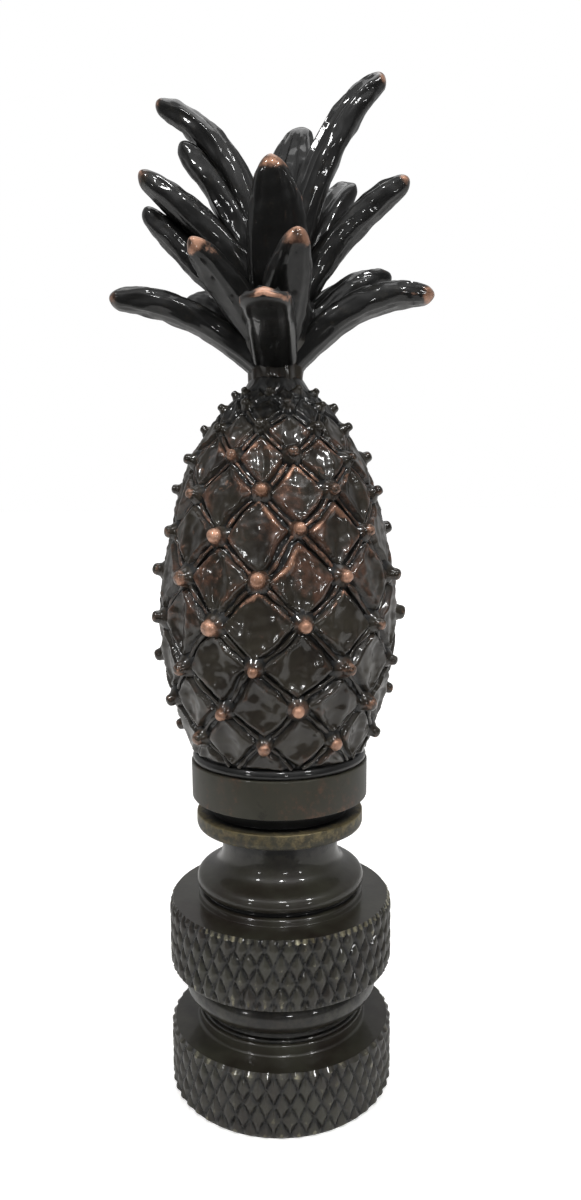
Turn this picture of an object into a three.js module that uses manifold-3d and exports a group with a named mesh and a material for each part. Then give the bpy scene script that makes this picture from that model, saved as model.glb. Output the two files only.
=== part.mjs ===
// Lamp finial: two knurled nuts, a seat collar and a cast pineapple with a crown of leaves.
// Millimetres, +Z up. The origin is on the turning axis, at the underside. The front faces -Y.

import * as THREE from 'three';
import { mergeVertices } from 'three/addons/utils/BufferGeometryUtils.js';
import Module from 'manifold-3d';

const manifold = await Module();
manifold.setup();

// Threaded socket for a quarter-inch lamp stud, taken at the middle of its thread
const socketRadius = 3.0;
const socketDepth = 11.5;

// Diamond knurl, the same on both nuts
const knurlCount = 46;
const knurlDepth = 0.26;
const knurlRows = 4;
const rimChamfer = 0.25;

// Adapter nut at the foot
const adapterRadius = 7.94;
const adapterHeight = 4.55;
const bossRadius = 5.95;
const bossHeight = 0.8;

// Base nut, from its groove up to the neck under the collar
const grooveRadius = 5.65;
const grooveHeight = 0.85;
const beadRadius = 6.88;
const beadHeight = 2.6;
const nutRadius = adapterRadius;
const nutHeight = 4.85;
const footRadius = bossRadius;
const footHeight = 0.95;
const bellHeight = 2.6;
const neckRadius = 4.1;
const neckHeight = 1.65;

// Shares of the bell's height: how high its shoulder reaches and how low its cove does
const bellShoulder = 0.58;
const bellCove = 0.19;

// Seat collar
const flangeRadius = 5.9;
const flangeHeight = 1.05;
const bandRadius = 5.72;
const bandHeight = 1.1;
const cupRadius = 6.2;
const cupHeight = 2.6;
const edgeRound = 0.3;

// Pineapple body
const lipRadius = 6.35;
const lipHeight = 0.7;
const bodyRadius = 8.1;
const bodyHeight = 25.7;
const stalkRadius = 1.8;

// Lattice of grooves that cross at the nubs
const latticeColumns = 9;
const latticeTurn = -9.5;
const latticeSlope = 1.03;
const firstRowHeight = 1.4;
const grooveHalfWidth = 0.42;
const panelHeight = 0.36;
const panelCrown = 0.1;
const nubRadius = 0.5;
const nubFoot = 1.4;
const nubRise = 1.0;
const nubDome = 0.15;
// How fast the nubs shrink with the body's radius: a power of its share of the largest radius
const nubShrink = 0.7;
// The lattice stops where the body is this many times as wide as the stalk
const latticeEnd = 1.4;

// Crown of leaves, with heights counted from the top of the stalk
const crownHeight = 19.1;
const coreRadius = 2.5;
const coreHeight = 8.2;
const leafWidth = 3.0;
const leafThickness = 1.95;
// Shares of a leaf's width: at its root, and added half way along
const leafRoot = 0.8;
const leafSwell = 0.25;
const leafBluntness = 0.8;
// Share of a leaf's thickness on the side towards the axis
const leafInnerShare = 0.4;

// Steps of the faceted surfaces
const turnSegments = knurlCount;
const beadSteps = [-84, -56, -28, 0, 28, 56, 84];
const bellSteps = 6;
const profileSteps = 400;
const leafSides = 6;
const leafStations = [0, 0.33, 0.62, 0.86, 1];
const firstNubRow = 2;

const adapterTop = adapterHeight + bossHeight;
const nutBottom = adapterTop + grooveHeight + beadHeight;
const footTop = nutBottom + nutHeight + footHeight;
const baseTop = footTop + bellHeight + neckHeight;
const collarTop = baseTop + flangeHeight + bandHeight + cupHeight;
const bodyBottom = collarTop + lipHeight;
const bodyTop = bodyBottom + bodyHeight;

// Half the profile of the body: share of its height, then share of its largest radius
const bodyProfile = [
  [-0.12, 0.68], [0, 0.765], [0.13, 0.895], [0.265, 0.985], [0.42, 1.0],
  [0.57, 0.93], [0.73, 0.8], [0.84, 0.635], [0.92, 0.45], [0.965, 0.3], [1, 0.222],
];

// The leaves, lowest first. Each has its azimuth from the front and its share of the leaf width, then
// three places: where it springs, the control point that it bends towards, and its tip. A place is a
// radius and a height above the stalk, both as shares of the crown's height.
const leaves = [
  { azimuth: -88, width: 1, spring: [0.052, 0.052], bend: [0.346, 0.304], tip: [0.581, 0.262] },
  { azimuth: -2.5, width: 1.1, spring: [0.052, 0.031], bend: [0.272, 0.199], tip: [0.539, 0.168] },
  { azimuth: 86, width: 1.03, spring: [0.052, 0.052], bend: [0.304, 0.335], tip: [0.555, 0.267] },
  { azimuth: 115, width: 0.93, spring: [0.052, 0.094], bend: [0.283, 0.398], tip: [0.471, 0.377] },
  { azimuth: 150, width: 1, spring: [0.052, 0.063], bend: [0.283, 0.346], tip: [0.492, 0.257] },
  { azimuth: 182, width: 1.07, spring: [0.052, 0.052], bend: [0.293, 0.356], tip: [0.545, 0.241] },
  { azimuth: -136, width: 1, spring: [0.052, 0.073], bend: [0.283, 0.377], tip: [0.497, 0.293] },
  { azimuth: -95, width: 0.9, spring: [0.052, 0.188], bend: [0.251, 0.513], tip: [0.461, 0.586] },
  { azimuth: -41, width: 1, spring: [0.052, 0.115], bend: [0.251, 0.325], tip: [0.414, 0.387] },
  { azimuth: 11.5, width: 1, spring: [0.052, 0.115], bend: [0.22, 0.283], tip: [0.366, 0.403] },
  { azimuth: 88, width: 0.83, spring: [0.042, 0.22], bend: [0.215, 0.618], tip: [0.466, 0.665] },
  { azimuth: 135, width: 1, spring: [0.042, 0.23], bend: [0.178, 0.576], tip: [0.351, 0.723] },
  { azimuth: 180, width: 1, spring: [0.042, 0.178], bend: [0.251, 0.45], tip: [0.435, 0.524] },
  { azimuth: -142, width: 0.93, spring: [0.042, 0.23], bend: [0.147, 0.524], tip: [0.272, 0.675] },
  { azimuth: -85, width: 0.93, spring: [0.031, 0.283], bend: [0.188, 0.607], tip: [0.466, 0.681] },
  { azimuth: -100, width: 0.87, spring: [0.031, 0.325], bend: [0.136, 0.712], tip: [0.335, 0.812] },
  { azimuth: -108, width: 0.97, spring: [0.031, 0.325], bend: [0.178, 0.848], tip: [0.44, 0.974] },
  { azimuth: 85, width: 1.03, spring: [0.031, 0.325], bend: [0.152, 0.88], tip: [0.377, 1] },
  { azimuth: 157, width: 1.4, spring: [0.031, 0.325], bend: [0.094, 0.681], tip: [0.262, 0.927] },
  { azimuth: -3, width: 1.2, spring: [0.042, 0.262], bend: [0.168, 0.492], tip: [0.251, 0.639] },
];

// Half the outline of the stalk and core. The stalk has its radius and its depth below the
// body's top as shares of its own radius; the core has both as shares of its own size.
const stalkOutline = [[1.6, 2.4], [1, 0.3]];
const coreOutline = [[1, 0.28], [1, 0.6], [0.4, 1]];

// A point by its azimuth in degrees from the front towards +X, its radius and its height
function polar(azimuth, radius, height) {
  const angle = THREE.MathUtils.degToRad(azimuth);
  return new THREE.Vector3(Math.sin(angle) * radius, -Math.cos(angle) * radius, height);
}

function turnedRing(radius, height, count = turnSegments) {
  return Array.from({ length: count }, (_, step) => polar((360 * step) / count, radius, height));
}

// Rings whose points stand high and low by turns, so the quads between them fold into diamonds
function knurlRings(radius, bottom, height) {
  const rings = [];
  for (let row = 0; row <= knurlRows; row += 1) {
    const level = bottom + rimChamfer + ((height - 2 * rimChamfer) * row) / knurlRows;
    const ring = turnedRing(radius, level, 2 * knurlCount);
    ring.forEach((point, step) => {
      const depth = (step + row) % 2 === 0 ? 0 : knurlDepth;
      point.x *= 1 - depth / radius;
      point.y *= 1 - depth / radius;
    });
    rings.push(ring);
  }
  return rings;
}

// A knurled disc with plain chamfers at both rims
function knurledDisc(radius, bottom, height) {
  const rimRadius = radius - knurlDepth;
  return [
    turnedRing(rimRadius, bottom),
    ...knurlRings(radius, bottom, height),
    turnedRing(rimRadius, bottom + height),
  ];
}

// Two triangles for a quad, folded along the diagonal that lies nearer to the axis
function pushQuad(index, points, a, b, c, d) {
  const middleRadius = (one, two) => Math.hypot(points[one].x + points[two].x, points[one].y + points[two].y);
  if (middleRadius(a, c) <= middleRadius(b, d)) {
    index.push(a, b, c, a, c, d);
  } else {
    index.push(a, b, d, b, c, d);
  }
}

// Joins two rings, of equal count or with one twice the other
function stitch(index, points, lower, upper) {
  const count = Math.min(lower.count, upper.count);
  const lowerStep = lower.count / count;
  const upperStep = upper.count / count;
  for (let step = 0; step < count; step += 1) {
    const next = (step + 1) % count;
    const a = lower.start + step * lowerStep;
    const b = lower.start + next * lowerStep;
    const c = upper.start + next * upperStep;
    const d = upper.start + step * upperStep;
    if (lowerStep === upperStep) {
      pushQuad(index, points, a, b, c, d);
    } else if (lowerStep > upperStep) {
      index.push(a, a + 1, d, a + 1, c, d, a + 1, b, c);
    } else {
      index.push(a, d + 1, d, a, b, d + 1, b, c, d + 1);
    }
  }
}

// Closes the end of a skin with a fan around the ring's middle
function cap(index, points, ring, facesForward) {
  const middle = new THREE.Vector3();
  for (let step = 0; step < ring.count; step += 1) {
    middle.addScaledVector(points[ring.start + step], 1 / ring.count);
  }
  points.push(middle);
  for (let step = 0; step < ring.count; step += 1) {
    const here = ring.start + step;
    const next = ring.start + ((step + 1) % ring.count);
    index.push(points.length - 1, facesForward ? here : next, facesForward ? next : here);
  }
}

function closedGeometry(points, index) {
  const geometry = new THREE.BufferGeometry();
  geometry.setAttribute('position', new THREE.Float32BufferAttribute(points.flatMap((p) => p.toArray()), 3));
  geometry.setIndex(index);
  return geometry;
}

// The closed solid between a row of rings. A looped skin comes back to its first ring.
function skin(rings, looped = false) {
  const points = [];
  const index = [];
  const spans = rings.map((ring) => {
    const span = { start: points.length, count: ring.length };
    points.push(...ring);
    return span;
  });
  for (let step = 0; step + 1 < spans.length; step += 1) {
    stitch(index, points, spans[step], spans[step + 1]);
  }
  if (looped) {
    stitch(index, points, spans.at(-1), spans[0]);
  } else {
    cap(index, points, spans[0], false);
    cap(index, points, spans.at(-1), true);
  }
  return closedGeometry(points, index);
}

function toSolid(geometry) {
  geometry.deleteAttribute('normal');
  geometry.deleteAttribute('uv');
  const merged = mergeVertices(geometry, 1e-4);
  return new manifold.Manifold(new manifold.Mesh({
    numProp: 3,
    vertProperties: new Float32Array(merged.attributes.position.array),
    triVerts: new Uint32Array(merged.index.array),
  }));
}

function fromSolid(solid) {
  const mesh = solid.getMesh();
  const geometry = new THREE.BufferGeometry();
  geometry.setAttribute('position', new THREE.BufferAttribute(new Float32Array(mesh.vertProperties), 3));
  geometry.setIndex(Array.from(mesh.triVerts));
  return geometry;
}

// The adapter is a ring: its threaded bore runs right through
function adapterGeometry() {
  const boreSegments = turnSegments / 2;
  return skin([
    turnedRing(socketRadius, adapterTop, boreSegments),
    turnedRing(socketRadius, 0, boreSegments),
    ...knurledDisc(adapterRadius, 0, adapterHeight),
    turnedRing(bossRadius, adapterHeight),
    turnedRing(bossRadius, adapterTop),
  ], true);
}

// Half-round bead that swells from the groove
function beadRings(bottom) {
  const halfHeight = beadHeight / 2;
  return beadSteps.map((step) => {
    const angle = THREE.MathUtils.degToRad(step);
    const radius = beadRadius - halfHeight + halfHeight * Math.cos(angle);
    return turnedRing(radius, bottom + halfHeight + halfHeight * Math.sin(angle));
  });
}

// Convex shoulder at the foot, then a cove that runs up into the neck
function bellRings() {
  const outline = new THREE.CubicBezierCurve(
    new THREE.Vector2(footRadius, footTop),
    new THREE.Vector2(footRadius, footTop + bellHeight * bellShoulder),
    new THREE.Vector2(neckRadius, footTop + bellHeight * bellCove),
    new THREE.Vector2(neckRadius, footTop + bellHeight),
  );
  return outline.getPoints(bellSteps).slice(1).map((point) => turnedRing(point.x, point.y));
}

function baseNutGeometry() {
  const boreSegments = turnSegments / 2;
  const grooveTop = adapterTop + grooveHeight;
  return skin([
    turnedRing(socketRadius, socketDepth, boreSegments),
    turnedRing(socketRadius, adapterTop, boreSegments),
    turnedRing(grooveRadius, adapterTop),
    turnedRing(grooveRadius, grooveTop),
    ...beadRings(grooveTop),
    ...knurledDisc(nutRadius, nutBottom, nutHeight),
    turnedRing(footRadius, nutBottom + nutHeight),
    turnedRing(footRadius, footTop),
    ...bellRings(),
    turnedRing(neckRadius, baseTop),
  ]);
}

function collarGeometry() {
  const bandBottom = baseTop + flangeHeight;
  const cupBottom = bandBottom + bandHeight;
  return skin([
    turnedRing(flangeRadius - edgeRound, baseTop),
    turnedRing(flangeRadius, baseTop + edgeRound),
    turnedRing(flangeRadius, bandBottom),
    turnedRing(bandRadius, bandBottom),
    turnedRing(bandRadius, cupBottom),
    turnedRing(cupRadius, cupBottom),
    turnedRing(cupRadius, collarTop - edgeRound),
    turnedRing(cupRadius - edgeRound, collarTop),
  ]);
}

const profileCurve = new THREE.SplineCurve(bodyProfile.map(
  ([heightShare, radiusShare]) => new THREE.Vector2(
    bodyRadius * radiusShare,
    bodyBottom + bodyHeight * heightShare,
  ),
));

// The lattice rows climb the profile by a step that follows the local radius,
// so the grooves keep one slope all the way up
function latticeRows() {
  const fine = profileCurve.getSpacedPoints(profileSteps);
  const halfTurn = Math.PI / latticeColumns;
  const rowAt = (place) => {
    const ahead = fine[Math.min(place + 1, fine.length - 1)];
    const behind = fine[Math.max(place - 1, 0)];
    const tangent = ahead.clone().sub(behind).normalize();
    return { radius: fine[place].x, height: fine[place].y, tangent };
  };
  const walk = (start, direction) => {
    const rows = [];
    let travelled = 0;
    for (let place = start; place > 0 && place + 1 < fine.length; place += direction) {
      if (place === start || travelled >= latticeSlope * halfTurn * fine[place].x) {
        rows.push(rowAt(place));
        travelled = 0;
      }
      travelled += fine[place].distanceTo(fine[place + direction]);
    }
    return rows;
  };
  const first = fine.findIndex((point) => point.y >= bodyBottom + firstRowHeight);
  const below = walk(first, -1).slice(1, 1 + firstNubRow).reverse();
  const above = walk(first, 1).filter((row) => row.radius > latticeEnd * stalkRadius);
  return [...below, ...above];
}

// A point of the lattice: column counts half cells, and rise is how far it stands off the grooves
function latticePoint(row, column, rise) {
  const halfColumn = 180 / latticeColumns;
  const radius = row.radius - panelHeight + rise * row.tangent.y;
  return polar(latticeTurn + column * halfColumn, radius, row.height - rise * row.tangent.x);
}

// A flat or nearly flat face, counterclockwise as seen from outside
function addFace(faces, ...corners) {
  for (let step = 2; step < corners.length; step += 1) {
    faces.push(corners[0], corners[step - 1], corners[step]);
  }
}

// The quarter of a nub that stands on one corner of a cell. It returns the two points
// where the nub meets the groove lines on either side of that corner.
function addNubQuarter(faces, row, column, corner, before, after) {
  const scale = (row.radius / bodyRadius) ** nubShrink;
  const outward = latticePoint(row, column, 1).sub(corner);
  const base = [before, after].map((neighbour) => {
    const along = neighbour.clone().sub(corner).normalize();
    return corner.clone().addScaledVector(along, nubFoot * nubRadius * scale);
  });
  const top = base.map((point) => {
    const sideways = point.clone().sub(corner).divideScalar(nubFoot);
    return corner.clone().add(sideways).addScaledVector(outward, nubRise * scale);
  });
  const tip = corner.clone().addScaledVector(outward, (nubRise + nubDome) * scale);
  addFace(faces, base[1], base[0], top[0], top[1]);
  addFace(faces, top[1], top[0], tip);
  return base;
}

// One raised diamond panel with its share of the grooves and of the nubs around it
function addCell(faces, rows, low, column) {
  const wrap = 2 * latticeColumns;
  const crossings = [
    [low, column],
    [low + 1, (column + 1) % wrap],
    [low + 2, column],
    [low + 1, (column + wrap - 1) % wrap],
  ];
  const corners = crossings.map(([row, place]) => latticePoint(rows[row], place, 0));
  const middle = latticePoint(rows[low + 1], column, 0);
  const outward = latticePoint(rows[low + 1], column, 1).sub(middle);
  const centre = middle.clone().addScaledVector(outward, panelHeight + panelCrown);
  const halfSpan = corners[1].distanceTo(corners[3]) / 2;
  const edgeShare = Math.min(0.5, (2 * grooveHalfWidth) / halfSpan);
  const edge = corners.map(
    (corner) => corner.clone().lerp(middle, edgeShare).addScaledVector(outward, panelHeight),
  );
  const feet = corners.map((corner, side) => {
    const [row, place] = crossings[side];
    if (row < firstNubRow || row > rows.length - 3) {
      return [corner, corner];
    }
    const [before, after] = [corners[(side + 3) % 4], corners[(side + 1) % 4]];
    const base = addNubQuarter(faces, rows[row], place, corner, before, after);
    addFace(faces, base[0], base[1], edge[side]);
    return base;
  });
  for (let side = 0; side < 4; side += 1) {
    const next = (side + 1) % 4;
    addFace(faces, feet[side][1], feet[next][0], edge[next], edge[side]);
    addFace(faces, edge[side], edge[next], centre);
  }
}

// Closes the zigzag edge of the lattice with a fan to the axis
function closeLattice(faces, rows, low, facesUp) {
  const wrap = 2 * latticeColumns;
  const edgeRow = facesUp ? low + 2 : low;
  const middle = new THREE.Vector3(0, 0, rows[edgeRow].height);
  const edgePoint = (step) => {
    const onEdge = (step + low) % 2 === 0;
    return latticePoint(rows[onEdge ? edgeRow : low + 1], step % wrap, 0);
  };
  for (let step = 0; step < wrap; step += 1) {
    const [here, next] = [edgePoint(step), edgePoint(step + 1)];
    addFace(faces, middle, facesUp ? here : next, facesUp ? next : here);
  }
}

function latticeGeometry(rows) {
  const faces = [];
  for (let low = 0; low + 2 < rows.length; low += 1) {
    for (let column = low % 2; column < 2 * latticeColumns; column += 2) {
      addCell(faces, rows, low, column);
    }
  }
  closeLattice(faces, rows, 0, false);
  closeLattice(faces, rows, rows.length - 3, true);
  return closedGeometry(faces, faces.map((_, place) => place));
}

// Rings across a path in the plane of one azimuth.
// A station is its place, its direction, its half width and its half thickness, inner side first.
function sweptRing(azimuth, station, sides) {
  const side = polar(azimuth + 90, 1, 0);
  const [alongRadius, alongHeight] = station.direction;
  const inward = polar(azimuth, -alongHeight, alongRadius);
  const middle = polar(azimuth, ...station.place);
  return Array.from({ length: sides }, (_, step) => {
    const angle = (2 * Math.PI * step) / sides;
    const lift = Math.sin(angle) * (Math.sin(angle) > 0 ? station.innerHalf : station.outerHalf);
    return middle.clone().addScaledVector(side, station.halfWidth * Math.cos(angle)).addScaledVector(inward, lift);
  });
}

// A leaf springs from the core, bends over and ends in a blunt tip
function leafGeometry({ azimuth, width, spring, bend, tip }) {
  const [start, control, end] = [spring, bend, tip].map(
    ([radius, height]) => new THREE.Vector2(radius * crownHeight, bodyTop + height * crownHeight),
  );
  const path = new THREE.QuadraticBezierCurve(start, control, end);
  const rings = leafStations.map((share) => {
    const swell = leafRoot + leafSwell * Math.sin(Math.PI * share);
    const taper = Math.sqrt(1 - leafBluntness * share ** 6);
    return sweptRing(azimuth, {
      place: path.getPoint(share).toArray(),
      direction: path.getTangent(share).toArray(),
      halfWidth: ((leafWidth * width) / 2) * swell * taper,
      innerHalf: leafThickness * leafInnerShare * taper,
      outerHalf: leafThickness * (1 - leafInnerShare) * taper,
    }, leafSides);
  });
  return skin(rings);
}

function lipGeometry() {
  return skin([
    turnedRing(lipRadius - edgeRound, collarTop),
    turnedRing(lipRadius, collarTop + edgeRound),
    turnedRing(lipRadius - edgeRound, bodyBottom + edgeRound),
  ]);
}

// Stalk and core that carry the crown
function coreGeometry() {
  const segments = turnSegments / 2;
  return skin([
    ...stalkOutline.map(([r, depth]) => turnedRing(r * stalkRadius, bodyTop - depth * stalkRadius, segments)),
    ...coreOutline.map(([r, height]) => turnedRing(r * coreRadius, bodyTop + height * coreHeight, segments)),
  ]);
}

// The whole casting: body, lip, nubs, core and leaves are one piece
function pineappleGeometry() {
  const rows = latticeRows();
  const trim = skin([
    turnedRing(2 * bodyRadius, collarTop),
    turnedRing(2 * bodyRadius, bodyTop),
  ]);
  let casting = toSolid(latticeGeometry(rows)).intersect(toSolid(trim));
  const added = [lipGeometry(), coreGeometry(), ...leaves.map(leafGeometry)];
  added.forEach((geometry) => {
    casting = casting.add(toSolid(geometry));
  });
  return fromSolid(casting);
}

function piece(name, geometry, color, roughness) {
  const material = new THREE.MeshStandardMaterial({ color, roughness, metalness: 0.9 });
  const mesh = new THREE.Mesh(geometry, material);
  mesh.name = name;
  return mesh;
}

const finial = new THREE.Group();
finial.add(piece('adapter', adapterGeometry(), '#3f3a33', 0.45));
finial.add(piece('base_nut', baseNutGeometry(), '#34302b', 0.35));
finial.add(piece('collar', collarGeometry(), '#4d4a44', 0.45));
finial.add(piece('pineapple', pineappleGeometry(), '#2f2c28', 0.25));

export default finial;
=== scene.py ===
# Lamp finial: knurled adapter nut, knurled base nut, seat collar and a cast pineapple, oil-rubbed bronze.
# Everything is worked out in millimetres on the turning axis and put into the scene in metres.
import bpy
import math
import random
import numpy as np
from mathutils import Matrix, Vector, noise


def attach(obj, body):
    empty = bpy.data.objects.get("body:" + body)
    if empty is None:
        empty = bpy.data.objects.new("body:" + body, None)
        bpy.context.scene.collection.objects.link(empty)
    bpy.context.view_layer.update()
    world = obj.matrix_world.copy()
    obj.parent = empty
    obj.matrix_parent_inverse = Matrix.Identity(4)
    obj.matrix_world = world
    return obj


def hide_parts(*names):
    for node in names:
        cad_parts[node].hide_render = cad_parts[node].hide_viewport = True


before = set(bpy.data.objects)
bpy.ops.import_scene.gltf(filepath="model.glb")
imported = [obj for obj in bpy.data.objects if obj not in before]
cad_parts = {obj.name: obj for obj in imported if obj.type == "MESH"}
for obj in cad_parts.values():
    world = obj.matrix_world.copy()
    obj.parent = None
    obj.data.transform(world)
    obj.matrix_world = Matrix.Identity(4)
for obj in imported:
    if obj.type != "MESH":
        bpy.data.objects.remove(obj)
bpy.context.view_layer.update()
mm = 0.001
print("frame loaded:", ", ".join(sorted(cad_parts)))


# colours and nodes

def linear(hexColour):
    channels = [int(hexColour[i:i + 2], 16) / 255 for i in (1, 3, 5)]
    return [c / 12.92 if c <= 0.04045 else ((c + 0.055) / 1.055) ** 2.4 for c in channels] + [1.0]


# adds one node: settings are its properties, inputs are values or sockets to link from
def addNode(tree, kind, settings=None, inputs=None):
    node = tree.nodes.new(kind)
    for name, value in (settings or {}).items():
        setattr(node, name, value)
    for name, value in (inputs or {}).items():
        if isinstance(value, bpy.types.NodeSocket):
            tree.links.new(value, node.inputs[name])
        else:
            node.inputs[name].default_value = value
    return node


def newMaterial(name):
    material = bpy.data.materials.new(name)
    material.use_nodes = True
    tree = material.node_tree
    tree.nodes.clear()
    return material, tree


def addToScene(name, data):
    made = bpy.data.objects.new(name, data)
    bpy.context.scene.collection.objects.link(made)
    return made


def setRamp(node, stops):
    ramp = node.color_ramp
    while len(ramp.elements) < len(stops):
        ramp.elements.new(0.5)
    for element, (place, colour) in zip(ramp.elements, stops):
        element.position = place
        element.color = colour


# meshes

# what the finish does at a point: bare metal, brown patina, black as soot and as painted shade in recesses and under
# overhangs, satin instead of gloss
finishNames = ("wear", "brown", "soot", "satin")


def finishOf(count, wear=0.0, brown=0.0, soot=0.0, satin=0.0):
    columns = [np.broadcast_to(np.asarray(value, float), (count,)) for value in (wear, brown, soot, satin)]
    return np.stack(columns, -1)


# rings of points, each an array of (count, 3) in mm, skinned into a closed or looped mesh
def skinMesh(rings, finish, looped=False):
    count = len(rings[0])
    points = np.concatenate(rings)
    values = np.concatenate(finish)
    faces = []
    for r in range(len(rings) if looped else len(rings) - 1):
        a, b = r * count, ((r + 1) % len(rings)) * count
        for i in range(count):
            j = (i + 1) % count
            faces.append((a + i, a + j, b + j, b + i))
    if not looped:
        top = (len(rings) - 1) * count
        for i in range(count):
            j = (i + 1) % count
            faces.append((len(points), j, i))
            faces.append((len(points) + 1, top + i, top + j))
        points = np.concatenate([points, [rings[0].mean(0)], [rings[-1].mean(0)]])
        values = np.concatenate([values, [finish[0].mean(0)], [finish[-1].mean(0)]])
    return points, faces, values


# sharpAngle is the angle in degrees between two faces from which their edge shades as a hard one
def addObject(name, points, faces, finish, sharpAngle):
    mesh = bpy.data.meshes.new(name)
    mesh.from_pydata((np.asarray(points) * mm).tolist(), [], faces)
    mesh.polygons.foreach_set("use_smooth", [True] * len(mesh.polygons))
    mesh.set_sharp_from_angle(angle=math.radians(sharpAngle))
    for column, label in enumerate(finishNames):
        layer = mesh.attributes.new(label, "FLOAT", "POINT")
        layer.data.foreach_set("value", np.clip(finish[:, column], 0, 1).astype(np.float32))
    mesh.update()
    return addToScene(name, mesh)


# several skins as one object
def addJoined(name, skins, sharpAngle):
    faces, start = [], 0
    for skinPoints, skinFaces, _ in skins:
        faces += [tuple(start + corner for corner in face) for face in skinFaces]
        start += len(skinPoints)
    points = np.concatenate([skin[0] for skin in skins])
    return addObject(name, points, faces, np.concatenate([skin[2] for skin in skins]), sharpAngle)


# azimuth in radians from the front (-Y) towards +X
def polar(azimuth, radius, height):
    azimuth = np.asarray(azimuth, float)
    radius = np.broadcast_to(np.asarray(radius, float), azimuth.shape)
    height = np.broadcast_to(np.asarray(height, float), azimuth.shape)
    return np.stack([np.sin(azimuth) * radius, -np.cos(azimuth) * radius, height], -1)


# evenly spaced azimuths or angles round a circle
def circleOf(count):
    return np.arange(count) * 2 * math.pi / count


def smoothstep(low, high, value):
    t = np.clip((value - low) / (high - low), 0, 1)
    return t * t * (3 - 2 * t)


# lumps of about the given size in mm, from -1 to 1; the seed shifts the field elsewhere
def lumps(points, size, seed):
    shift = Vector((seed * 17.3, seed * 5.7, seed * 11.1))
    flat = np.asarray(points).reshape(-1, 3)
    found = [noise.noise(Vector(point) / size + shift) for point in flat]
    return np.array(found).reshape(np.asarray(points).shape[:-1])


# soft noise from -1 to 1, from a few seeded waves round the axis and along it; reach is their length in mm
def waveNoise(seed, azimuth, height, reach):
    chance = random.Random(seed)
    total = np.zeros(np.broadcast(azimuth, height).shape)
    waves = 7
    for _ in range(waves):
        turns = chance.randint(1, 6)
        pitch = chance.uniform(0.5, 2.0) / reach
        total += np.sin(turns * azimuth + 2 * math.pi * pitch * height + chance.uniform(0, 6.28)) / waves
    return total


# an outline whose corners are rounded; corners are (radius, height, fillet) in mm
def roundedOutline(corners, steps=4):
    outline = []
    count = len(corners)
    for k, (r, z, fillet) in enumerate(corners):
        here = np.array([r, z], float)
        if fillet <= 0 or k in (0, count - 1):
            outline.append(here)
            continue
        before = np.array(corners[k - 1][:2], float) - here
        after = np.array(corners[k + 1][:2], float) - here
        reach = min(fillet, 0.45 * np.linalg.norm(before), 0.45 * np.linalg.norm(after))
        start = here + before / np.linalg.norm(before) * reach
        end = here + after / np.linalg.norm(after) * reach
        for t in np.linspace(0, 1, steps + 1):
            outline.append((1 - t) ** 2 * start + 2 * t * (1 - t) * here + t * t * end)
    return outline


# turned and knurled pieces

knurl = {
    "count": 46,  # diamonds round the disc
    "drift": 0.1,  # how far the grooves stray, in diamonds
    "driftSize": 1.8,  # mm over which they stray
    "columns": 10,  # mesh columns for each diamond
    "rows": 40,
    "depth": 0.26,
    "chamfer": 0.25,
    "diamondsHigh": 2,
    "crest": 1.2,  # above 1 the diamonds have small rounded tops
    "uneven": 0.35,
    "unevenSize": 1.0,
    "topRubbed": 0.06,  # how far the wear of the rims reaches down and up, in diamonds
    "footRubbed": 0.2,
    "ridgeWear": 0.4,
    "wearSize": 2.2,  # mm between the more and the less rubbed stretches
    "blackening": 0.9,
    "sharpAngle": 30,
}

adapter = {
    "radius": 7.94,
    "height": 4.55,
    "bossRadius": 5.95,
    "bossHeight": 0.8,
    "bossFillet": 0.12,
    "socketRadius": 3.0,
    "threadPitch": 0.94,  # 27 turns to the inch
    "threadDepth": 0.26,
    "threadWear": 0.45,
    "knurlSeed": 61,
    "knurlShift": 0,
    "rimWear": 0.25,
}

baseNut = {
    "grooveRadius": 5.65,
    "grooveHeight": 0.85,
    "beadRadius": 6.88,
    "beadHeight": 2.6,
    "radius": 7.94,
    "height": 4.85,
    "footRadius": 5.95,
    "footHeight": 0.95,
    "footGroove": 0.5,  # how deep the dark groove in the foot band is
    "bellHeight": 2.6,
    "bellStep": 0.28,  # the straight edge under the bell
    "neckRadius": 4.1,
    "neckHeight": 1.65,
    "socketDepth": 11.5,
    "knurlSeed": 63,
    "knurlShift": 0.25,
    "rimWear": 0.95,
}

collar = {
    "flangeRadius": 5.9,
    "flangeHeight": 1.05,
    "bandRadius": 5.72,
    "bandHeight": 1.1,
    "bandDepth": 0.9,
    "cupRadius": 6.2,
    "cupHeight": 2.6,
    "cupWall": 0.5,
    "dents": 0.03,
    "flangeWear": 0.42,
    "edgeWear": 0.4,  # the flange's upper edge
    "lowRimWear": 0.25,  # the cup's lower rim
    "topRimWear": 0.12,
    "brown": 0.15,
    "patch": (0.5, 0.85, 0.35, 0.7, 0.9),  # how brown; azimuth and its spread; height in the cup and its spread
    "stains": [(0.45, 1.8, 81), (0.35, 0.7, 82)],  # strength, size in mm, seed
    "sharpAngle": 35,
}

adapterTop = adapter["height"] + adapter["bossHeight"]
beadBottom = adapterTop + baseNut["grooveHeight"]
nutBottom = beadBottom + baseNut["beadHeight"]
nutTop = nutBottom + baseNut["height"]
footTop = nutTop + baseNut["footHeight"]
baseTop = footTop + baseNut["bellHeight"] + baseNut["neckHeight"]
bandBottom = baseTop + collar["flangeHeight"]
cupBottom = bandBottom + collar["bandHeight"]
collarTop = cupBottom + collar["cupHeight"]

turnColumns = knurl["count"] * knurl["columns"]
turnAngles = circleOf(turnColumns)


def plainRings(outline):
    return [polar(turnAngles, r, z) for r, z in outline]


def plainFinish(rings, **finish):
    return [finishOf(turnColumns, **finish)] * len(rings)


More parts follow.
